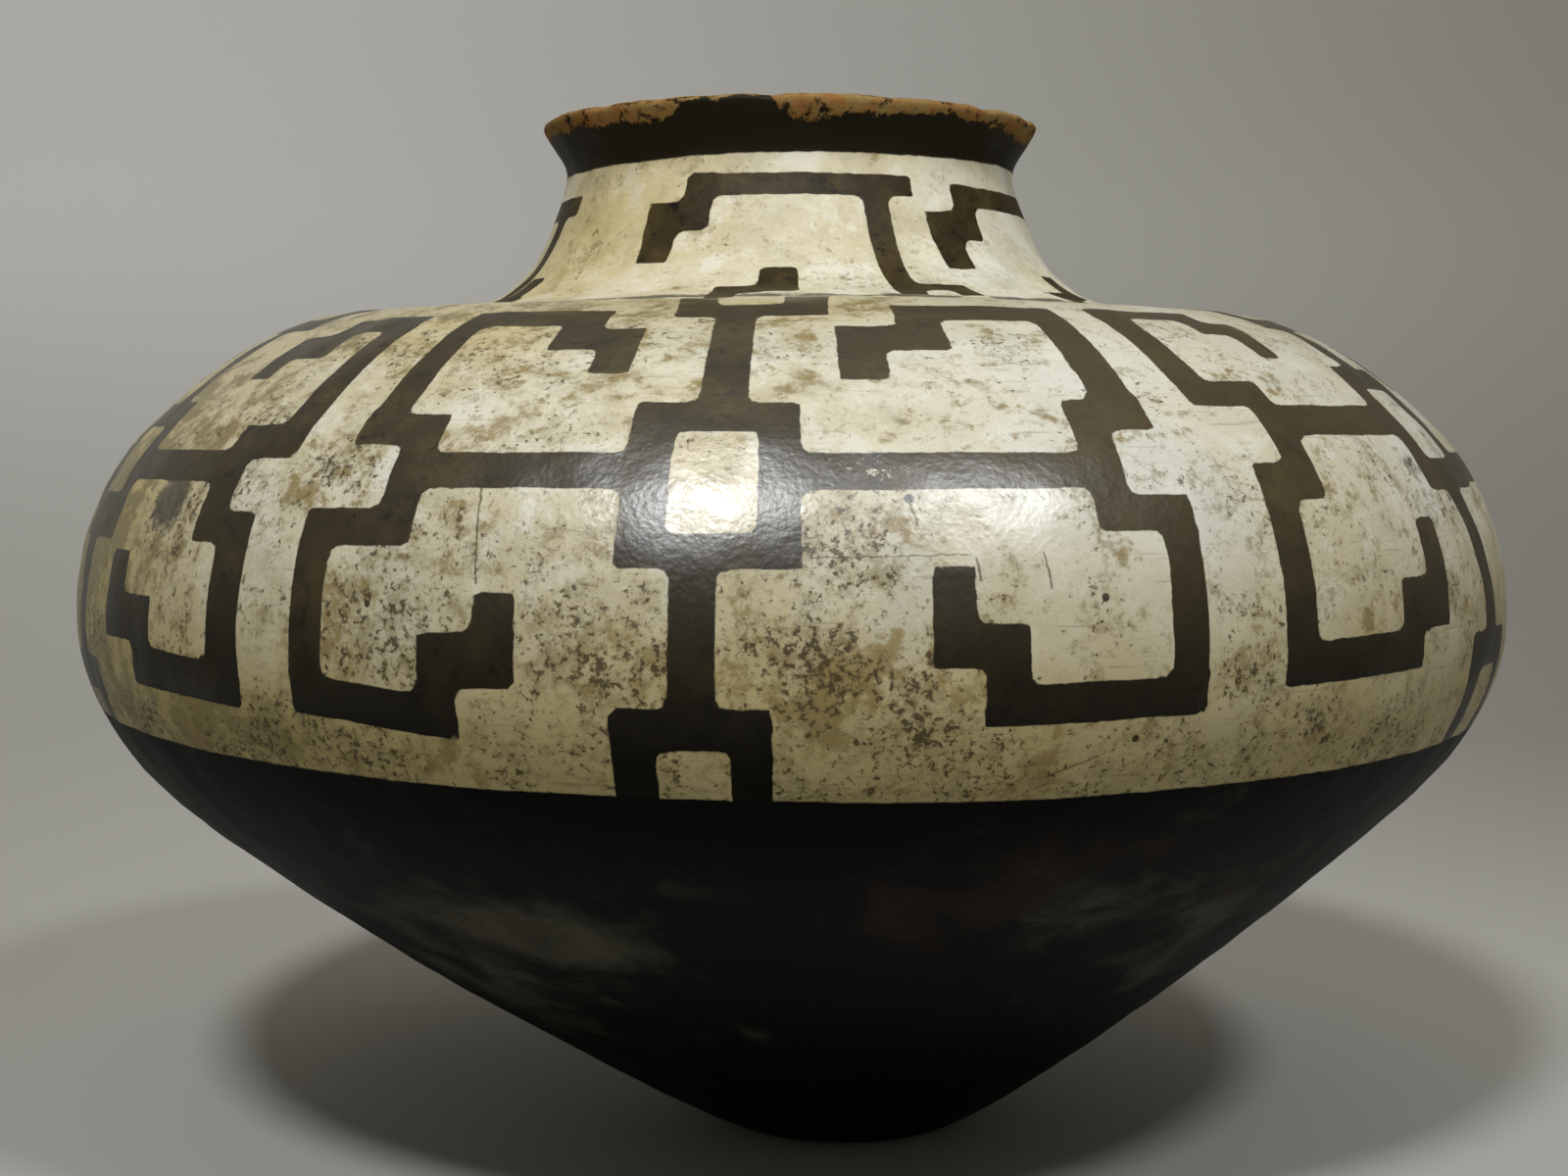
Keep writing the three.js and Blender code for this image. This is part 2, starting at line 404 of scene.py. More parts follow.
def paintAll():
    strokes = [paintSpine(**{key: value for key, value in spine.items() if not key.endswith("Fret")})
               for spine in spines]
    strokes += [paintFret(fret) for fret in (fretRight, fretLeft, fretFarLeft, fretFarRight)]
    for spine in spines:
        for key, fret in (("rightFret", fretRight), ("leftFret", fretLeft)):
            if key in spine:
                strokes.append(paintFret(fret, spine["at"] - spineStrokes["at"], spine[key]))
    strokes += [paintNeck(start, lift) for start, lift in necks]
    return join(strokes)[0]


paintGap = paintAll()
paintGap[side > 0.5] = 400.0      # far from any stroke, so the inside stays plain
print("ornament drawn")

# Edges of the slips, as gaps in mm: positive above the edge

slipEdges = {     # degrees round, mm up the wall
    "darkBelow": [(-180, 363), (-70, 372), (-55, 370), (-40, 366), (-20, 363), (0, 361), (15, 359.5),
                  (35, 360.5), (55, 362), (100, 365), (180, 363)],
    "darkAbove": [(-180, 783), (-65, 780.5), (-40, 781), (-20, 782.5), (0, 783), (60, 783.5), (180, 783)],
    "wornLip": [(-180, 803), (-65, 803), (-50, 803), (-40, 800.5), (-30, 801.5), (-26, 804), (-24, 809),
                (-20, 812), (-16, 808), (-12, 815), (-8, 811), (-5, 816), (-2, 804), (0, 799.5), (6, 799.5),
                (15, 802.5), (20, 802), (25, 805), (35, 804.5), (50, 804), (54, 801.5), (68, 799), (90, 801),
                (120, 804), (150, 800), (180, 803)],
}


def edgeGap(pairs):
    at, up = zip(*pairs)
    return run - np.interp(degrees, at, up)


darkBelowGap = edgeGap(slipEdges["darkBelow"])
darkAboveGap = edgeGap(slipEdges["darkAbove"])
wornLipGap = edgeGap(slipEdges["wornLip"])

# Stains and fire clouds, among them painted shade and painted reflection: degrees round, mm up the wall, half
# width, half height, strength

stains = {
    "ochre": [
        (-21.5, 515, 14, 10, 1.0), (-32.5, 489, 26, 12, 0.6), (-47, 427, 16, 13, 0.9),
        (-23.5, 560, 17, 16, 0.5), (-8.5, 415, 20, 14, 0.6), (5, 412, 36, 17, 1.0), (8, 388, 6, 6, 1.1),
        (5.4, 466, 5, 5, 1.2),
        (6.5, 610, 9, 6, 0.9), (36, 547, 6, 5, 0.8), (42, 533, 6, 5, 0.8), (-48, 516, 15, 6, 0.7),
        (-50, 735, 34, 45, 0.5), (18, 392, 30, 12, 0.5), (-14, 560, 10, 20, 0.4), (29, 520, 8, 30, 0.3),
        (80, 500, 26, 18, 0.8), (104, 430, 22, 14, 0.8), (150, 520, 20, 16, 0.7), (-110, 470, 30, 14, 0.8),
        (-150, 555, 18, 20, 0.6),
    ],
    "olive": [
        # the patches low on the belly, just above the dark half, and the one at -68 degrees by the left side
        # are partly stain, partly painted shade
        (-46.5, 478, 11, 10, 0.8), (-34, 580, 12, 22, 0.7), (-26.5, 430, 20, 15, 0.6),
        (-32.5, 383, 44, 13, 0.7), (-68, 405, 44, 30, 0.9), (-12, 414, 26, 17, 0.9), (4, 572, 13, 26, 0.5),
        (5, 467, 26, 12, 0.6), (4, 413, 42, 19, 0.65), (-52, 730, 30, 45, 0.3), (30, 408, 9, 7, 0.8),
        (53.5, 435, 10, 8, 1.1), (-15, 735, 4, 25, 0.4), (-33, 492, 24, 14, 0.25), (14, 380, 30, 10, 0.7),
        (40, 378, 40, 9, 0.7), (-55, 380, 30, 10, 0.7), (95, 385, 60, 12, 0.8), (170, 420, 24, 15, 0.9),
        (130, 575, 14, 24, 0.6), (-95, 384, 50, 12, 0.9), (-130, 430, 20, 16, 0.9),
    ],
    "soot": [
        (-50.5, 478, 15, 17, 1.3), (53.5, 495, 11, 10, 0.7), (-22, 485, 2.6, 16, 0.4), (-45, 737, 9, 8, 0.45),
        (-40, 715, 5, 5, 0.5), (-45, 755, 5, 5, 0.5), (9, 740, 8, 6, 0.4), (16, 450, 2.6, 7, 0.6),
        (110, 560, 14, 12, 0.7), (-170, 450, 16, 12, 0.7), (-120, 600, 10, 12, 0.6),
    ],
    "streaked": [
        (-46, 470, 34, 90, 1.0), (-36, 590, 40, 50, 1.0), (-33, 490, 26, 16, 0.6), (-58, 560, 40, 60, 0.7),
        (-22, 480, 6, 40, 0.8), (60, 470, 50, 60, 0.6), (130, 500, 60, 80, 0.8), (-130, 500, 60, 80, 0.9),
        (-180, 560, 60, 60, 0.6), (-15, 735, 12, 40, 0.5), (-45, 735, 14, 40, 0.35), (10, 735, 14, 40, 0.4),
    ],
    "cloudBrown": [
        (11, 290, 42, 40, 1.0), (24, 322, 46, 26, 0.8), (44, 268, 50, 50, 0.7), (-26, 262, 40, 44, 0.6),
        (-42, 205, 40, 60, 0.7), (75, 280, 60, 50, 0.7), (140, 220, 50, 60, 0.8), (-120, 300, 60, 40, 0.7),
    ],
    # partly fire clouds, partly painted reflection of the pale surroundings
    "cloudGreyAndReflection": [
        (25, 276, 34, 34, 0.9), (40, 258, 46, 44, 0.7), (46, 208, 34, 40, 0.4), (-17, 256, 30, 34, 1.0),
        (-27, 268, 40, 34, 0.8), (-40, 232, 44, 46, 0.7), (-38, 180, 40, 36, 0.5), (105, 250, 50, 50, 0.8),
        (-85, 240, 50, 50, 0.8), (-160, 180, 60, 50, 0.6),
    ],
    # partly yellowing of the slip, partly painted shade: the patches on the neck's left, low on the belly and
    # high on the shoulder's front darken it where shade falls
    "yellowedAndShaded": [
        (-64, 470, 90, 110, 1.0), (-50, 740, 50, 45, 0.6), (-38, 385, 110, 18, 0.8), (5, 395, 90, 20, 0.45),
        (-30, 590, 70, 30, 0.4), (4, 600, 60, 24, 0.4), (95, 440, 90, 90, 0.6), (-130, 500, 90, 90, 0.6),
        (170, 400, 120, 30, 0.6),
    ],
    "bleached": [
        (22, 470, 70, 60, 0.9), (28, 560, 50, 50, 0.7), (50, 500, 60, 60, 0.8), (44, 590, 40, 40, 0.6),
        (12, 540, 40, 30, 0.5), (140, 520, 80, 70, 0.6), (-140, 560, 70, 50, 0.5),
    ],
    "flaked": [
        (6.4, 493, 20, 6, 1.0), (2, 496, 12, 5, 0.7), (-9.5, 476, 8, 18, 0.5), (140, 495, 20, 10, 0.8),
        (-120, 470, 16, 12, 0.8),
    ],
}
pits = [     # degrees round, mm up the wall, radius
    (7.4, 481, 2.6), (19.6, 441, 2.1), (22, 385, 1.9), (-27.6, 437, 1.7), (139, 470, 2.2), (-120, 505, 2.0),
]
hairlines = [     # degrees round and mm up, at one end and at the other, and half width
    (7.3, 481, 7.8, 470, 0.5), (15.7, 459, 16.0, 444.5, 0.45), (11.3, 457, 11.6, 448, 0.5),
    (16.25, 370, 19.6, 378.5, 0.35), (-20.6, 487, -19.8, 446, 0.45), (1.2, 457.5, 11, 458.5, 0.25),
    (140, 460, 139, 430, 0.45), (-120, 500, -118, 470, 0.5), (100, 520, 108, 524, 0.3),
]


def stainField(patches):
    field = np.zeros(len(theta))
    for at, up, halfWide, halfHigh, strength in patches:
        dx = ((degrees - at + 180) % 360 - 180) * np.pi / 180 * radius / halfWide
        dy = (run - up) / halfHigh
        field += strength * np.exp(-(dx * dx + dy * dy) * 0.8)
    return np.clip(field, 0, 1.2)     # patches that overlap may add up a little past full strength


stainFields = {name: stainField(patches) for name, patches in stains.items()}
neckRootShade = {
    "upper": (687, 4, 1.1),       # the dark line in the crease, painted shade with some dirt: mm up the wall, width, strength
    "lower": (652, 3, 0.55), "between": 0.15,
    "patchSize": 34, "patchDepth": 0.18,
}

# painted shade in the crease at the neck's root, with some dirt: a soft dark line at each level and a fainter
# band between, broken into patches
creaseShade = neckRootShade["between"] * ((run > neckRootShade["lower"][0]) & (run < neckRootShade["upper"][0]))
for up, wide, strength in (neckRootShade["upper"], neckRootShade["lower"]):
    creaseShade = creaseShade + strength * np.exp(-((run - up) / wide) ** 2)
patchyShade = ripple(wallSpace, neckRootShade["patchSize"], seed=31, waves=40) * neckRootShade["patchDepth"]
creaseShade *= np.clip(0.9 + patchyShade, 0.5, 1.1)

# Hand-built unevenness and the worn lip

lipWear = {
    "chips": [(-47, 6, 1.0), (-30, 4, 0.5), (-4, 4, 0.8), (22, 5, 0.7), (49, 5, 1.0), (70, 6, 1.2),
              (112, 5, 2.4), (148, 7, 1.5), (-160, 6, 2.0), (-118, 4, 1.4),
              (-84, 5, 1.0)],     # degrees round, half width in degrees, depth in mm
    "wave": 0.5,                  # how far the rim rises and falls, mm
    "grain": 0.12,                # its roughness to the finger, mm
    "reach": 9,                   # how far below the rim the wear goes, mm
    "inward": 0.4,                # how much of a chip's depth goes inward as well
}

normalR = np.interp(np.clip(run, 0, lipRun), wallRun, wallSlope[:, 1])
normalZ = np.interp(np.clip(run, 0, lipRun), wallRun, -wallSlope[:, 0])
swell = (np.sin(2 * theta + 0.7) * 0.45 + np.sin(3 * theta + run / 190 + 1.1) * 0.35
         + ripple(wallSpace, 160, seed=5) * 0.45) * jarWall["handWobble"]
swell *= np.clip((lipRun - run) / jarWall["trueLip"], jarWall["lipWobble"], 1)
dents = ripple(wallSpace, 26, seed=8, waves=60) * jarWall["handRipple"]
push = (swell + dents) * np.clip(run / jarWall["trueFoot"], 0, 1) * (side < 0.5)
radius = radius + push * normalR
height = height + push * normalZ
lipNear = np.clip((run - (lipRun - lipWear["reach"])) / lipWear["reach"], 0, 1) * (side < 0.5)
wave = (np.sin(2 * theta + 2.2) * 0.7 + np.sin(5 * theta + 0.4) * 0.35) * lipWear["wave"]
drop = np.zeros(len(theta))
for at, half, depth in lipWear["chips"]:
    away = np.abs((degrees - at + 180) % 360 - 180) / half
    drop += depth * np.clip(1 - away ** 2, 0, 1) ** 2
grain = ripple(wallSpace, 9, seed=21, waves=60) * lipWear["grain"]
height = height + lipNear * (wave - drop * lipNear + grain)
radius = radius - lipNear * drop * lipWear["inward"] + lipNear * grain * (run < lipRun)
height[(run < 0.5) & (side < 0.5)] = 0.0      # the underside stays flat

lean = leanAt(height, jarWall)
jarPoints = np.stack([radius * np.sin(theta) + lean, -radius * np.cos(theta), height], 1) / 1000

jarMesh = bpy.data.meshes.new("paintedJar")
jarMesh.from_pydata(jarPoints.tolist(), [], jarFaces)
stacks = {     # three fields to a vector, as the material reads them
    "slipGaps": (darkBelowGap, darkAboveGap, wornLipGap),
    # the third stain channel holds soot and the painted shade in the neck's crease
    "slipStainsAndCreaseShade": (stainFields["ochre"], stainFields["olive"], np.maximum(stainFields["soot"], creaseShade)),
    "fireCloudsAndReflection": (stainFields["cloudBrown"], stainFields["cloudGreyAndReflection"], stainFields["streaked"]),
    "slipTone": (stainFields["yellowedAndShaded"], stainFields["bleached"], stainFields["flaked"]),
}
vectors = {"wallSpace": wallSpace / 1000, **{name: np.stack(fields, 1) for name, fields in stacks.items()}}
for name, values in vectors.items():
    layer = jarMesh.attributes.new(name, "FLOAT_VECTOR", "POINT")
    layer.data.foreach_set("vector", np.asarray(values, np.float32).ravel())
for name, values in (("paintGap", paintGap), ("inside", side)):
    layer = jarMesh.attributes.new(name, "FLOAT", "POINT")
    layer.data.foreach_set("value", np.asarray(values, np.float32))
jarMesh.polygons.foreach_set("use_smooth", [True] * len(jarMesh.polygons))
jarMesh.update()
jarPiece = bpy.data.objects.new("paintedJar", jarMesh)
bpy.context.scene.collection.objects.link(jarPiece)
print("jar meshed:", sum(len(p) - 2 for p in jarFaces), "triangles")

# Finish of the clay. A small helper keeps the wiring readable


class nodeBench:
    def __init__(self, name):
        self.material = bpy.data.materials.new(name)
        self.material.use_nodes = True
        self.tree = self.material.node_tree
        self.tree.nodes.clear()

    def node(self, kind, **settings):
        made = self.tree.nodes.new(kind)
        for key, value in settings.items():
            setattr(made, key, value)
        return made

    def plug(self, value, socket):
        if isinstance(value, bpy.types.NodeSocket):
            self.tree.links.new(value, socket)
        elif socket.type == "RGBA":
            socket.default_value = (*value, 1.0) if isinstance(value, tuple) else (value, value, value, 1.0)
        else:
            socket.default_value = value

    def attribute(self, name, output="Fac"):
        return self.node("ShaderNodeAttribute", attribute_name=name).outputs[output]

    def split(self, vector):
        parts = self.node("ShaderNodeSeparateXYZ")
        self.plug(vector, parts.inputs[0])
        return parts.outputs

    def math(self, operation, a, b=0.0):
        made = self.node("ShaderNodeMath", operation=operation)
        self.plug(a, made.inputs[0])
        self.plug(b, made.inputs[1])
        return made.outputs[0]

    def plus(self, a, b):
        return self.math("ADD", a, b)

    def less(self, a, b):
        return self.math("SUBTRACT", a, b)

    def times(self, a, b):
        return self.math("MULTIPLY", a, b)

    def swing(self, noise, amount):     # a pattern about nought instead of about a half
        return self.times(self.less(noise, 0.5), amount)

    def measure(self, operation, vector, other):
        made = self.node("ShaderNodeVectorMath", operation=operation)
        self.plug(vector, made.inputs[0])
        self.plug(other, made.inputs[1])
        return made.outputs["Value"]

    def stretch(self, vector, x, y, z):
        made = self.node("ShaderNodeMapping")
        self.plug(vector, made.inputs["Vector"])
        made.inputs["Scale"].default_value = (x, y, z)
        return made.outputs[0]

    def noise(self, vector, *numbers):
        made = self.node("ShaderNodeTexNoise")
        self.plug(vector, made.inputs["Vector"])
        made.inputs["Distortion"].default_value = 0.0
        for socket, number in zip(("Scale", "Detail", "Roughness", "Distortion"), numbers):
            made.inputs[socket].default_value = number
        return made.outputs["Fac"]

    def ramp(self, value, low, high, toLow=0.0, toHigh=1.0):
        made = self.node("ShaderNodeMapRange", interpolation_type="SMOOTHSTEP")
        self.plug(value, made.inputs["Value"])
        for socket, number in zip(("From Min", "From Max", "To Min", "To Max"), (low, high, toLow, toHigh)):
            self.plug(number, made.inputs[socket])
        return made.outputs["Result"]

    def blend(self, factor, a, b):
        made = self.node("ShaderNodeMix", data_type="RGBA")
        self.plug(factor, made.inputs["Factor"])
        self.plug(a, made.inputs[6])
        self.plug(b, made.inputs[7])
        return made.outputs[2]

    def surface(self, **values):     # closes the material with one shader, and returns it
        names = {"colour": "Base Color", "roughness": "Roughness", "shine": "Specular IOR Level",
                 "normal": "Normal"}
        shader = self.node("ShaderNodeBsdfPrincipled")
        for name, value in values.items():
            self.plug(value, shader.inputs[names[name]])
        out = self.node("ShaderNodeOutputMaterial")
        self.plug(shader.outputs[0], out.inputs["Surface"])
        return self.material


clayFinish = {
    "colours": {
        "creamSlip": (0.64, 0.60, 0.47), "creamWarm": (0.56, 0.49, 0.32), "creamGrey": (0.60, 0.59, 0.51),
        # the colour low on the belly is partly stain, partly painted shade
        "creamPale": (0.69, 0.68, 0.60), "creamShade": (0.40, 0.365, 0.23), "creamLowStainAndShade": (0.36, 0.295, 0.125),
        # the yellowed colour is partly yellowing, partly painted shade
        "creamYellowedAndShaded": (0.48, 0.36, 0.11), "olive": (0.235, 0.20, 0.09), "moss": (0.118, 0.102, 0.034),
        "umber": (0.17, 0.12, 0.055), "ochre": (0.25, 0.178, 0.066), "speck": (0.05, 0.037, 0.016),
        # the brown paint is partly painted sheen, lighter than the bare paint
        "soot": (0.038, 0.034, 0.022), "brownPaint": (0.029, 0.0205, 0.0072),
        "brownPaintThin": (0.064, 0.046, 0.0155), "brownPaintDeep": (0.008, 0.0058, 0.003),
        "lipSlip": (0.012, 0.009, 0.004), "terracotta": (0.25, 0.112, 0.032),
        "terracottaPale": (0.25, 0.185, 0.068), "burnished": (0.0016, 0.0015, 0.0013),
        # the grey cloud colour is partly fire cloud, partly painted reflection
        "fireCloud": (0.016, 0.0088, 0.0045), "fireGreyAndReflection": (0.060, 0.056, 0.036),
        "innerClay": (0.13, 0.085, 0.05),
    },
    "grains": {     # noise: scale to the metre, detail, roughness and, where it's bent, distortion
        "brushBroad": (42, 3, 0.55), "brushFine": (190, 3, 0.6), "ragged": (130, 4, 0.75),
        "broad": (9, 3, 0.5, 0.2), "weather": (34, 4, 0.7, 0.2), "small": (105, 5, 0.78),
        "flake": (330, 4, 0.72, 0.2), "dirt": (24, 5, 0.68, 0.3), "streaks": (120, 3, 0.65),
        "scratches": (500, 2, 0.5), "paint": (34, 5, 0.7), "wisps": (26, 5, 0.65, 0.6),
        "drift": (21, 5, 0.62, 0.4), "lipClay": (70, 4, 0.7), "lipFlakes": (150, 4, 0.7),
        "fineRelief": (420, 1, 0.5), "broadRelief": (150, 1, 0.5), "lipRelief": (330, 3, 0.7),
    },
    "drawnOut": {     # grains that are longer one way: shares round the wall, round it and up it
        "ragged": (1, 1, 0.5), "streaks": (1, 1, 0.14), "scratches": (0.05, 0.05, 1), "wisps": (1, 1, 0.6),
    },
    "ramps": {     # where a change sets in and where it's done, and its strength at both if not 0 and 1
        "stroke": (0.35, -0.35), "paintLost": (0.75, 0.79, 1.0, 0.0), "burnishEdge": (0.5, -0.5),
        "bandEdge": (-0.5, 0.5), "wornEdge": (-0.5, 0.8), "warmSlip": (0.38, 0.66), "greySlip": (0.46, 0.34),
        "shadedSlip": (0.52, 0.40, 0.0, 0.35), "weathered": (0.485, 0.62), "weatheredLess": (0, 1, 1.0, 0.4),
        "paleSlip": (0.49, 0.38, 0.0, 0.6), "moss": (0.60, 0.73), "mottle": (0.48, 0.68, 0.0, 0.7),
        "ochre": (0.57, 0.72, 0.0, 0.75), "fleckHalo": (0.565, 0.65, 0.0, 0.45), "flecks": (0.625, 0.685),
        "scratches": (0.64, 0.74), "soot": (0.60, 0.84), "hairline": (0.0003, -0.0003, 0.0, 0.75),
        "thinPaint": (0.42, 0.72), "deepPaint": (0.52, 0.68), "brownCloud": (0.80, 1.32),
        "paleCloudAndReflection": (0.90, 1.48), "lipClay": (0.35, 0.7), "lipFlakes": (0.51, 0.66),
        "lipRelief": (-3.0, 3.0),
    },
    "heights": {     # the same, for changes that come in metres up the wall
        # the deck's two levels set painted shade with some grime on the shoulder's top
        "weathered": (0.655, 0.70, 0.62, 0.34), "deckShadeStarts": (0.545, 0.61),
        "deckShadeEnds": (0.69, 0.655, 0.0, 0.4), "low": (0.49, 0.37), "moss": (0.655, 0.69, 0.7, 0.15),
        "clean": (0.655, 0.69, 0.0, 0.11), "scratches": (0.60, 0.66, 0.35, 0.0), "mattNeck": (0.66, 0.69),
        "shineStarts": (0.37, 0.47), "shineEnds": (0.60, 0.68),
    },
    "amounts": {
        "broadShake": 1.5, "fineShake": 1.2, "lipShake": 16.0,        # how far edges stray, mm
        # the low tint is partly stain, partly painted shade low on the belly
        "flaking": 0.2, "bleaching": 0.55, "lowStainAndShade": 0.85, "mossByYellow": 0.22, "cleanByBleach": 0.06,
        "streakMiddle": 0.47, "streaks": 0.9, "lowDirt": 0.06, "oliveDirt": 0.16, "crowding": 0.52,
        "ochreGrain": 0.9, "ochreStain": 0.17, "ochreFlecks": 0.05, "fleckDepth": 0.85,
        "sootStain": 0.5, "sootGrain": 0.8, "sootDepth": 0.85, "pitCore": 0.625, "pitDepth": 0.9,
        # the paint's darkening low on the belly is painted shade
        "hairShake": 0.003, "paintBleached": 0.6, "paintLowShade": 0.9, "wisps": 1.3, "drift": 1.5, "clouds": 0.5,
        "fineRelief": 0.6, "broadRelief": 0.8, "lipRelief": 1.2, "reliefStrength": 0.4, "reliefDepth": 0.0006,
    },
    "gloss": {
        "slipRough": 0.34, "paintRough": 0.36, "mattRough": 0.52, "lipRough": 0.9, "innerRough": 0.85,
        "dullShine": 0.05, "slipShine": 0.85, "neckShine": 0.14, "bandShine": 0.12,
    },
}


def paintedClay(finish):
    n = nodeBench("paintedClay")
    c, a, gloss = finish["colours"], finish["amounts"], finish["gloss"]
    space = n.attribute("wallSpace", "Vector")
    up = n.split(space)[2]
    inside = n.attribute("inside")
    belowGap, aboveGap, lipGap = n.split(n.attribute("slipGaps", "Vector"))
    ochre, olive, sootAndCreaseShade = n.split(n.attribute("slipStainsAndCreaseShade", "Vector"))
    brownField, cloudAndReflectionField, streakField = n.split(n.attribute("fireCloudsAndReflection", "Vector"))
    yellowedAndShaded, bleached, flaking = n.split(n.attribute("slipTone", "Vector"))

    def grain(name):
        shares = finish["drawnOut"].get(name)
        return n.noise(n.stretch(space, *shares) if shares else space, *finish["grains"][name])

    def ramp(name, value):
        return n.ramp(value, *finish["ramps"][name])

    def byHeight(name):
        return n.ramp(up, *finish["heights"][name])

    # strokes and slip edges, each edge shaken by the brush
    fine = grain("brushFine")
    shake = n.plus(n.swing(grain("brushBroad"), a["broadShake"]), n.swing(fine, a["fineShake"]))
    flake = grain("flake")           # flecks from 3 mm down
    painted = n.times(ramp("stroke", n.plus(n.attribute("paintGap"), shake)),
                      ramp("paintLost", n.plus(flake, n.times(flaking, a["flaking"]))))
    burnish = ramp("burnishEdge", n.plus(belowGap, shake))
    banded = ramp("bandEdge", n.plus(aboveGap, shake))
    worn = ramp("wornEdge", n.plus(lipGap, n.swing(grain("ragged"), a["lipShake"])))

    # cream slip, warmer and cooler by turns, yellowed, bleached and mossed, with painted shade on the deck,
    # low on the belly and in some yellowed patches
    broad, weather = grain("broad"), grain("weather")
    small = grain("small")           # from patches of 9 mm down to fine flecks
    cream = n.blend(ramp("warmSlip", broad), c["creamSlip"], c["creamWarm"])
    cream = n.blend(ramp("greySlip", broad), cream, c["creamGrey"])
    cream = n.blend(ramp("shadedSlip", small), cream, c["creamShade"])
    weathered = n.times(ramp("weathered", weather), byHeight("weathered"))
    cream = n.blend(n.times(weathered, ramp("weatheredLess", bleached)), cream, c["creamShade"])
    cream = n.blend(ramp("paleSlip", weather), cream, c["creamPale"])
    # painted shade with some grime: a darker band over the shoulder's top, fading out at the neck
    cream = n.blend(n.times(byHeight("deckShadeStarts"), byHeight("deckShadeEnds")), cream, c["creamShade"])
    # yellowing, with painted shade on the neck's left, low on the belly and on the shoulder's front
    cream = n.blend(yellowedAndShaded, cream, c["creamYellowedAndShaded"])
    cream = n.blend(n.times(bleached, a["bleaching"]), cream, c["creamPale"])
    # darker towards the bottom of the belly: partly stain, partly painted shade; it also darkens the paint
    # there
    low = byHeight("low")
    cream = n.blend(n.times(low, a["lowStainAndShade"]), cream, c["creamLowStainAndShade"])
    mossy = ramp("moss", n.plus(weather, n.times(yellowedAndShaded, a["mossByYellow"])))
    cream = n.blend(n.times(mossy, byHeight("moss")), cream, c["moss"])

    # where dirt gathers: low on the belly, in drawn patches and in loose clusters; the neck stays cleaner
    clean = n.plus(byHeight("clean"), n.times(bleached, a["cleanByBleach"]))
    streaked = n.times(n.times(n.less(grain("streaks"), a["streakMiddle"]), a["streaks"]), streakField)
    dirt = n.plus(n.less(grain("dirt"), clean), n.times(low, a["lowDirt"]))
    dirt = n.plus(n.plus(dirt, streaked), n.times(olive, a["oliveDirt"]))
    crowd = n.swing(dirt, a["crowding"])
    cream = n.blend(ramp("mottle", n.plus(small, crowd)), cream, c["olive"])
    ochreHold = n.plus(n.swing(small, a["ochreGrain"]),
                       n.plus(weather, n.less(n.times(ochre, a["ochreStain"]), clean)))
    cream = n.blend(ramp("ochre", ochreHold), cream, c["ochre"])

    # fine dark flecks, each in a faint halo, then scratches, soot with the painted shade in the neck's
    # crease, pits and hairlines
    fleckHold = n.plus(flake, n.plus(crowd, n.times(ochre, a["ochreFlecks"])))
    cream = n.blend(ramp("fleckHalo", fleckHold), cream, c["umber"])
    cream = n.blend(n.times(ramp("flecks", fleckHold), a["fleckDepth"]), cream, c["speck"])
    scratched = n.times(ramp("scratches", grain("scratches")), byHeight("scratches"))
    cream = n.blend(scratched, cream, c["umber"])
    # soot, and the painted shade in the neck's crease
    sootAndShadeHold = n.plus(n.times(sootAndCreaseShade, a["sootStain"]), n.times(small, a["sootGrain"]))
    cream = n.blend(n.times(ramp("soot", sootAndShadeHold), a["sootDepth"]), cream, c["soot"])
    for at, high, size in pits:
        r, turn = float(outsideAt(high)[0]) / 1000, math.radians(at)
        away = n.measure("DISTANCE", space, (r * math.sin(turn), -r * math.cos(turn), high / 1000))
        pit = n.ramp(away, size / 1000, size / 1000 * a["pitCore"], 0.0, a["pitDepth"])
        cream = n.blend(pit, cream, c["brownPaintDeep"])
    for at0, up0, at1, up1, half in hairlines:
        turn = math.radians((at0 + at1) / 2)
        span = math.radians(at1 - at0) * float(outsideAt((up0 + up1) / 2)[0]) / 1000
        rise, centre = (up1 - up0) / 1000, (up0 + up1) / 2000
        length = math.hypot(span, rise)
        across, upward = span / length, rise / length
        along = n.measure("DOT_PRODUCT", space, (across * math.cos(turn), across * math.sin(turn), upward))
        aside = n.measure("DOT_PRODUCT", space, (-upward * math.cos(turn), -upward * math.sin(turn), across))
        aside = n.plus(aside, n.swing(fine, a["hairShake"]))
        past = n.less(n.math("ABSOLUTE", n.less(along, upward * centre)), length / 2)
        beside = n.less(n.math("ABSOLUTE", n.less(aside, across * centre)), half / 1000)
        cream = n.blend(ramp("hairline", n.math("MAXIMUM", past, beside)), cream, c["speck"])

    # brown paint, thinner and darker here and there; its base colour is partly painted sheen, and low on the
    # belly it darkens to near black as painted shade
    brown = n.blend(ramp("thinPaint", grain("paint")), c["brownPaint"], c["brownPaintThin"])
    brown = n.blend(ramp("deepPaint", small), brown, c["brownPaintDeep"])
    brown = n.blend(n.times(bleached, a["paintBleached"]), brown, c["brownPaintThin"])
    # painted shade: the paint turns near black low on the belly
    brown = n.blend(n.times(low, a["paintLowShade"]), brown, c["burnished"])
    colour = n.blend(painted, cream, brown)

    # burnished lower half with fire clouds, its grey patches partly painted reflection, dark band, worn lip
    # and plain inside
    brownHold = n.plus(n.times(grain("wisps"), a["wisps"]), n.times(brownField, a["clouds"]))
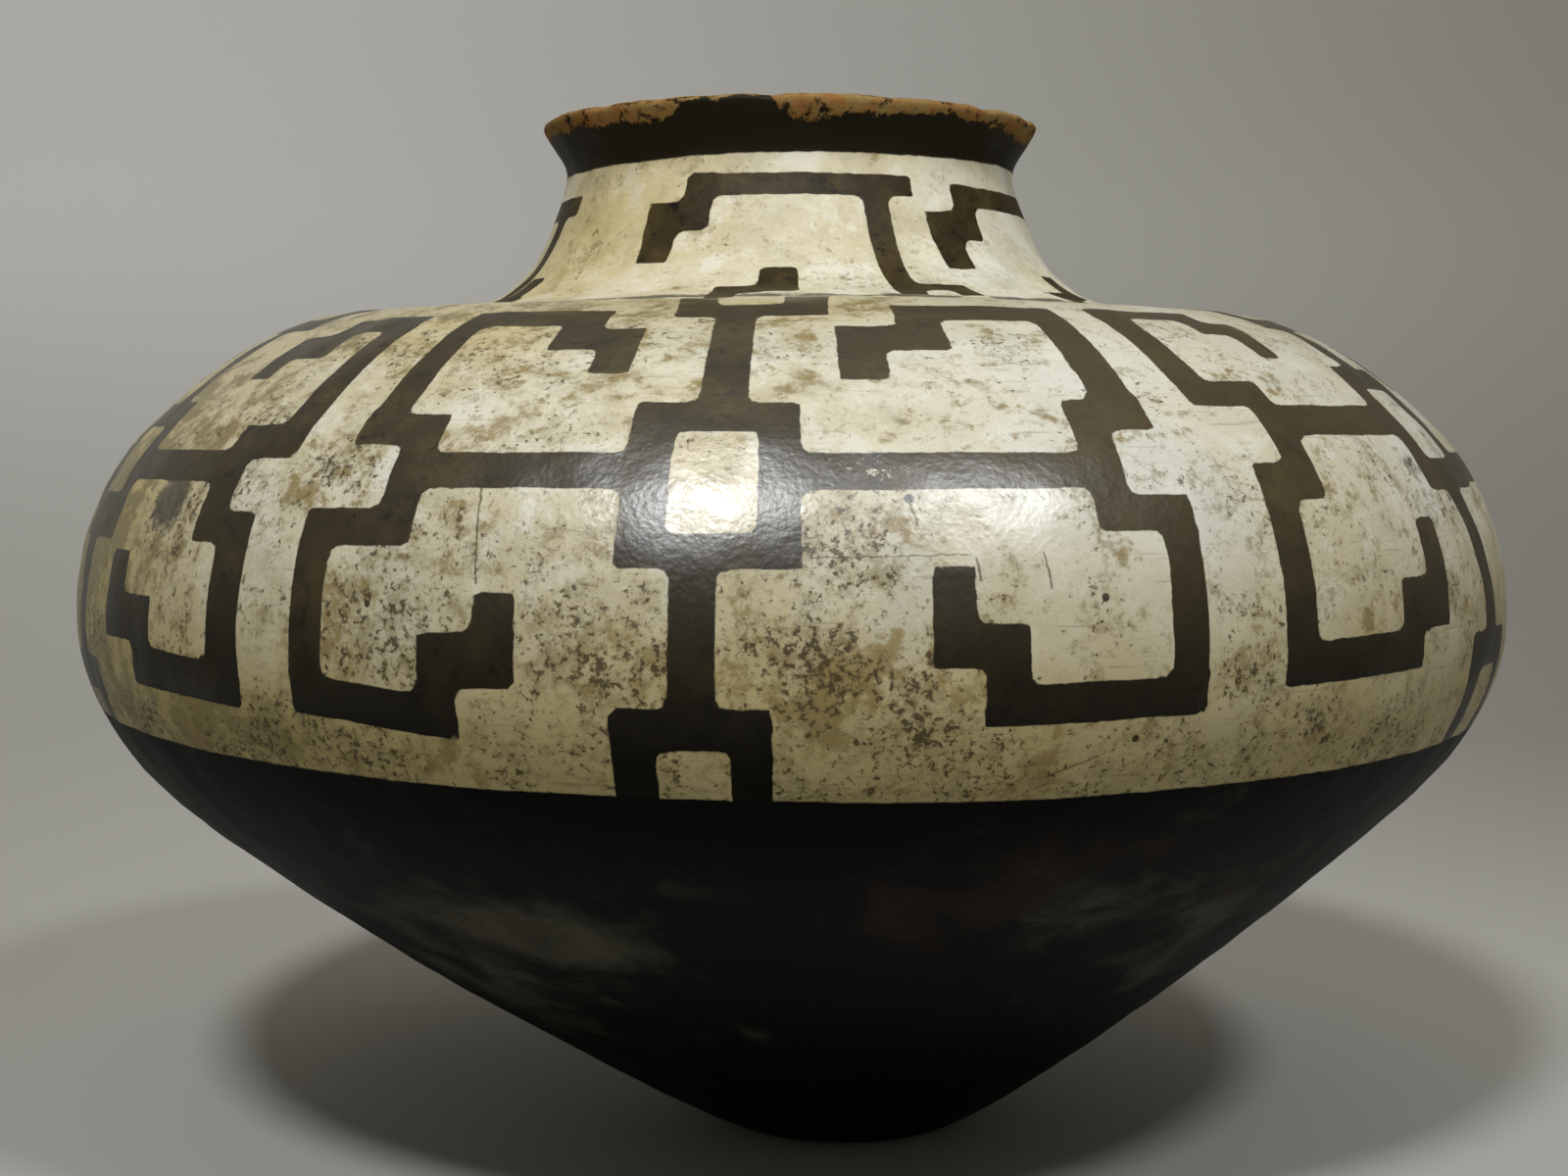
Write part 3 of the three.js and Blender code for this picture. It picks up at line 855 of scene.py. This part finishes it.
    # grey patches: partly fire clouds, partly painted reflection of the pale surroundings
    greyReflectionHold = n.plus(n.times(grain("drift"), a["drift"]), n.times(cloudAndReflectionField, a["clouds"]))
    dark = n.blend(ramp("brownCloud", brownHold), c["burnished"], c["fireCloud"])
    dark = n.blend(ramp("paleCloudAndReflection", greyReflectionHold), dark, c["fireGreyAndReflection"])
    colour = n.blend(burnish, colour, dark)
    colour = n.blend(banded, colour, c["lipSlip"])
    clay = n.blend(ramp("lipClay", grain("lipClay")), c["terracotta"], c["terracottaPale"])
    clay = n.blend(ramp("lipFlakes", grain("lipFlakes")), clay, c["lipSlip"])
    colour = n.blend(worn, colour, clay)
    colour = n.blend(inside, colour, c["innerClay"])

    # gloss and relief
    rough = n.blend(painted, gloss["slipRough"], gloss["paintRough"])
    rough = n.blend(byHeight("mattNeck"), rough, gloss["mattRough"])
    rough = n.blend(burnish, rough, gloss["mattRough"])
    rough = n.blend(worn, rough, gloss["lipRough"])
    rough = n.blend(inside, rough, gloss["innerRough"])
    shine = n.blend(byHeight("shineStarts"), gloss["dullShine"], gloss["slipShine"])
    shine = n.blend(byHeight("shineEnds"), shine, gloss["neckShine"])
    shine = n.blend(burnish, shine, gloss["dullShine"])
    shine = n.blend(banded, shine, gloss["bandShine"])
    relief = n.plus(n.times(grain("fineRelief"), a["fineRelief"]),
                    n.times(grain("broadRelief"), a["broadRelief"]))
    wear = n.times(ramp("lipRelief", lipGap), grain("lipRelief"))
    bump = n.node("ShaderNodeBump")
    n.plug(a["reliefStrength"], bump.inputs["Strength"])
    n.plug(a["reliefDepth"], bump.inputs["Distance"])
    n.plug(n.plus(relief, n.times(wear, a["lipRelief"])), bump.inputs["Height"])
    return n.surface(colour=colour, roughness=rough, shine=shine, normal=bump.outputs[0])


jarMesh.materials.append(paintedClay(clayFinish))
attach(jarPiece, "root")
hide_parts("jar")
print("clay finished")

# Floor, light and camera

studio = {
    "floorSpread": 3.2, "wallRise": 2.6, "bend": 1.4, "bendSteps": 12, "floorSides": 96,
    "paleFloor": (0.50, 0.495, 0.47), "palerWall": (0.76, 0.76, 0.745), "floorRough": 0.9,
    "wallTone": (0.02, 0.8),      # metres up the sweep over which the floor's tone turns into the wall's
    "keyTint": (0.97, 0.985, 1.0), "fillTint": (1.0, 0.94, 0.76), "skyLight": 0.19,
    "eyePlace": (-0.00306, -1.2351, 0.3595), "eyeDown": 3.764, "lensLength": 54, "sensorWidth": 36,
    "nearClip": 0.01,
    "lamps": {     # place, target, size, power, tint and spread in degrees
        "keyLamp": ((-0.47, -1.91, 2.36), (0, 0, 0.34), 0.42, 5.6, "keyTint", 60),
        "sideLamp": ((1.05, -1.7, 2.35), (0, 0, 0.34), 0.4, 3.0, "keyTint", 60),
        "fillLamp": ((0, 0, 2.5), (0, 0, 0), 3.0, 5, "fillTint", 180),
        "wallLamp": ((-0.4, 0.7, 2.5), (-1.3, 3.2, 0.5), 1.0, 11, "keyTint", 120),
    },
}


def sweepFloor(s):
    # a round floor whose rim sweeps up into a pale wall, the same from every side
    line = [(0, 0), (s["floorSpread"] - s["bend"], 0)]
    for k in range(1, s["bendSteps"] + 1):
        a = math.pi / 2 * k / s["bendSteps"]
        line.append((s["floorSpread"] - s["bend"] + s["bend"] * math.sin(a), s["bend"] * (1 - math.cos(a))))
    line.append((s["floorSpread"], s["wallRise"]))
    sides = s["floorSides"]
    turns = [2 * math.pi * i / sides for i in range(sides)]
    points, faces = [(0, 0, 0)], []
    for r, z in line[1:]:
        points += [(r * math.cos(turn), r * math.sin(turn), z) for turn in turns]
    for i in range(sides):
        j = (i + 1) % sides
        faces.append((0, 1 + i, 1 + j))
        for ring in range(len(line) - 2):
            a, b = 1 + ring * sides, 1 + (ring + 1) * sides
            faces.append((a + i, b + i, b + j, a + j))
    mesh = bpy.data.meshes.new("paleFloor")
    mesh.from_pydata(points, [], faces)
    mesh.polygons.foreach_set("use_smooth", [True] * len(mesh.polygons))
    n = nodeBench("paleFloor")
    up = n.split(n.node("ShaderNodeNewGeometry").outputs["Position"])[2]
    colour = n.blend(n.ramp(up, *s["wallTone"]), s["paleFloor"], s["palerWall"])
    mesh.materials.append(n.surface(colour=colour, roughness=s["floorRough"]))
    floor = bpy.data.objects.new("paleFloor", mesh)
    bpy.context.scene.collection.objects.link(floor)
    return floor


def areaLight(name, place, target, size, power, tint, spread):
    data = bpy.data.lights.new(name, "AREA")
    data.shape = "DISK"
    data.size = size
    data.energy = power
    data.color = tint
    data.spread = math.radians(spread)
    lamp = bpy.data.objects.new(name, data)
    lamp.location = place
    x, y, z = np.array(target) - np.array(place)
    lamp.rotation_euler = (math.atan2(math.hypot(x, y), -z), 0, math.atan2(y, x) - math.pi / 2)
    bpy.context.scene.collection.objects.link(lamp)


floor = sweepFloor(studio)
for name, (place, target, size, power, tint, spread) in studio["lamps"].items():
    areaLight(name, place, target, size, power, studio[tint], spread)

world = bpy.data.worlds.new("softSky")
world.use_nodes = True
world.node_tree.nodes["Background"].inputs["Color"].default_value = (*studio["fillTint"], 1)
world.node_tree.nodes["Background"].inputs["Strength"].default_value = studio["skyLight"]
bpy.context.scene.world = world

eye = bpy.data.objects.new("eye", bpy.data.cameras.new("eye"))
eye.location = studio["eyePlace"]
eye.rotation_euler = (math.radians(90 - studio["eyeDown"]), 0, 0)
eye.data.lens = studio["lensLength"]
eye.data.sensor_width = studio["sensorWidth"]
eye.data.clip_start = studio["nearClip"]
bpy.context.scene.collection.objects.link(eye)
bpy.context.scene.camera = eye
bpy.context.scene.view_settings.view_transform = "Standard"
print("floor, light and camera set")
